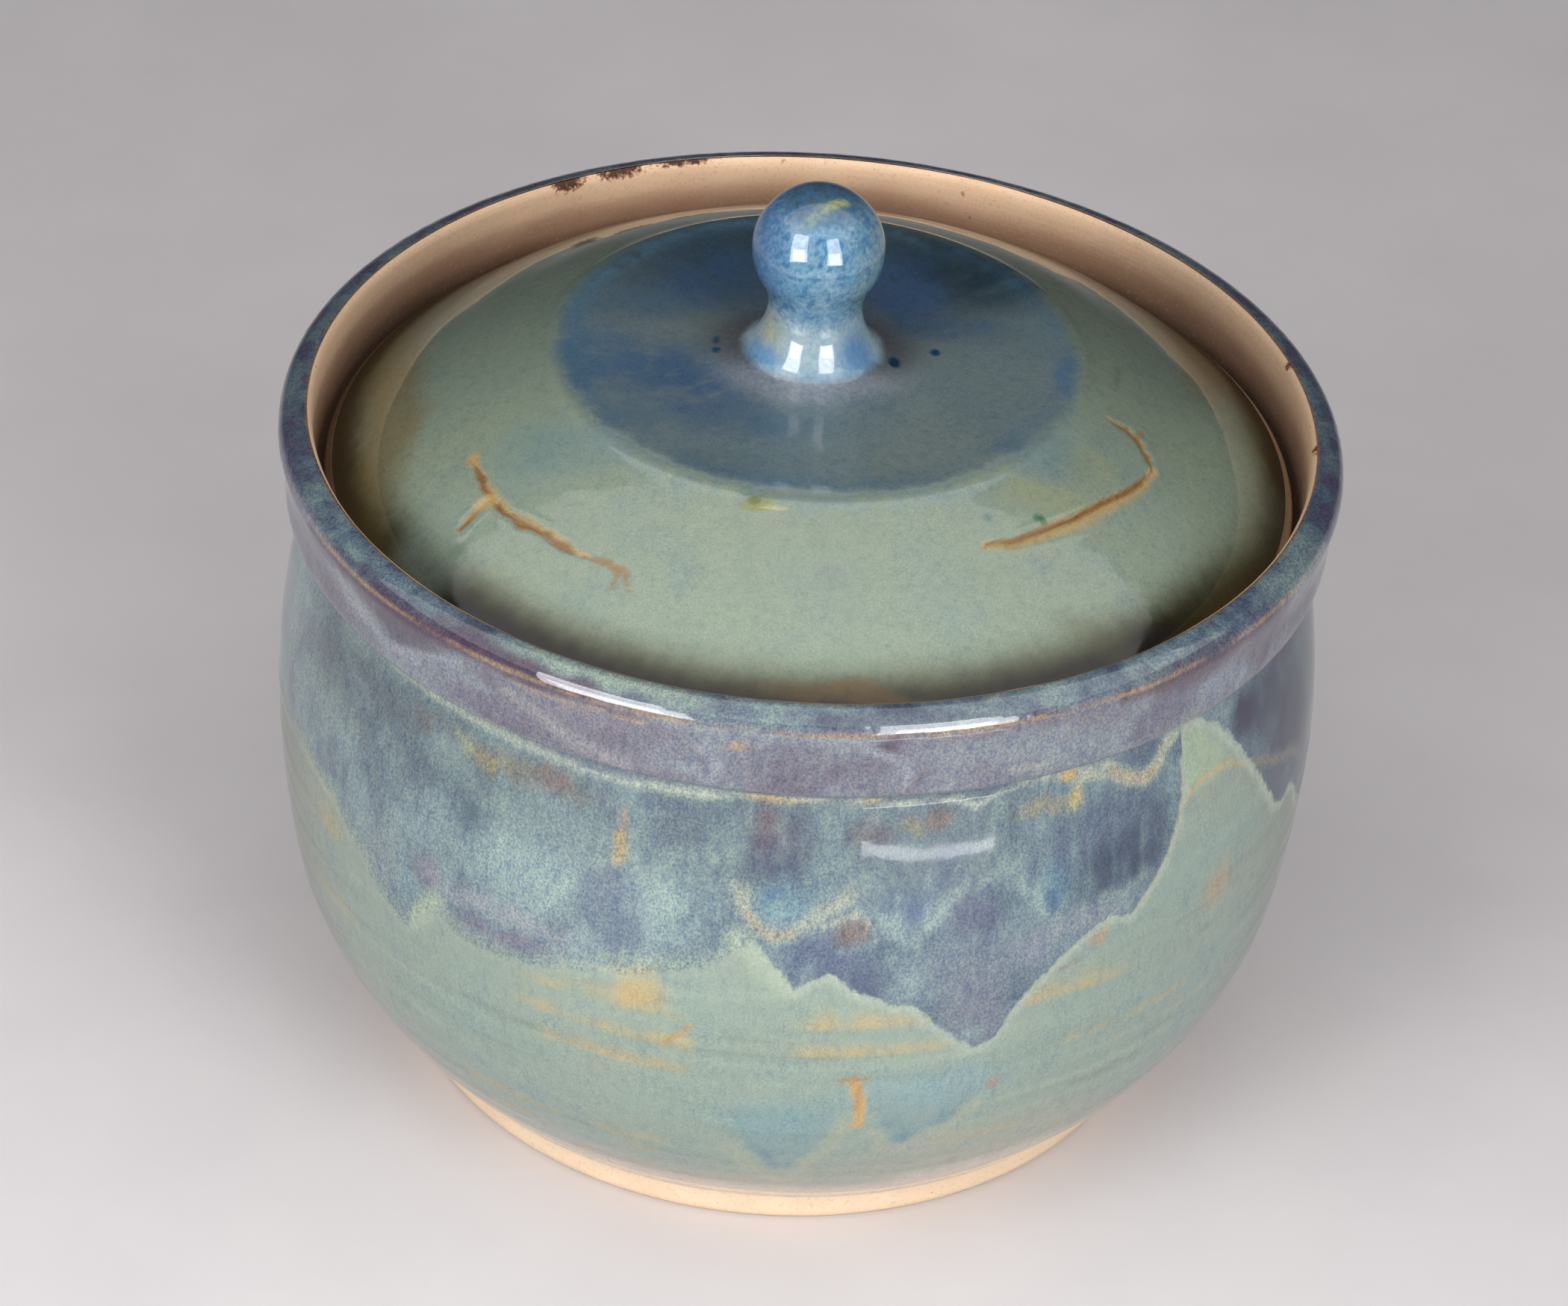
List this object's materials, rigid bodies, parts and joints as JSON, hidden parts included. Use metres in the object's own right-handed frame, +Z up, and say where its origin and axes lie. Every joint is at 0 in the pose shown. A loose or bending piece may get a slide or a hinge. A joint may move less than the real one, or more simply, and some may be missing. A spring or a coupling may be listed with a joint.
{
  "type": "lidded stoneware jar",
  "caption": "Round-bellied glazed stoneware jar on a foot ring, with a raised collar and a domed lid with a ball knob that drops onto a gallery inside the collar.",
  "frame": {"origin": "centre of the foot ring, on the surface the jar stands on", "axes": "+Z up along the axis the jar was turned on; -Y is the side with the long glaze run"},
  "size_m": [0.1692, 0.1692, 0.1553],
  "materials": {
    "bare_clay": "matt unglazed stoneware, pale cream at the foot and tan inside the collar",
    "body_glaze": "glossy running glaze, blue and purple over turquoise",
    "liner_glaze": "glossy pale green glaze",
    "lid_glaze": "glossy celadon green glaze with a blue centre",
    "knob_glaze": "glossy speckled blue glaze"
  },
  "bodies": {
    "pot": {"pot_clay": "bare_clay", "pot_glaze": "body_glaze", "liner_glaze": "liner_glaze"},
    "lid": {"lid_clay": "bare_clay", "lid_glaze": "lid_glaze", "knob_clay": "bare_clay", "knob_glaze": "knob_glaze"}
  },
  "joints": [
    {"name": "lid_lift", "type": "slide", "parent": "pot", "child": "lid", "axis": [0, 0, 1], "range_m": [0, 0.08]}
  ]
}
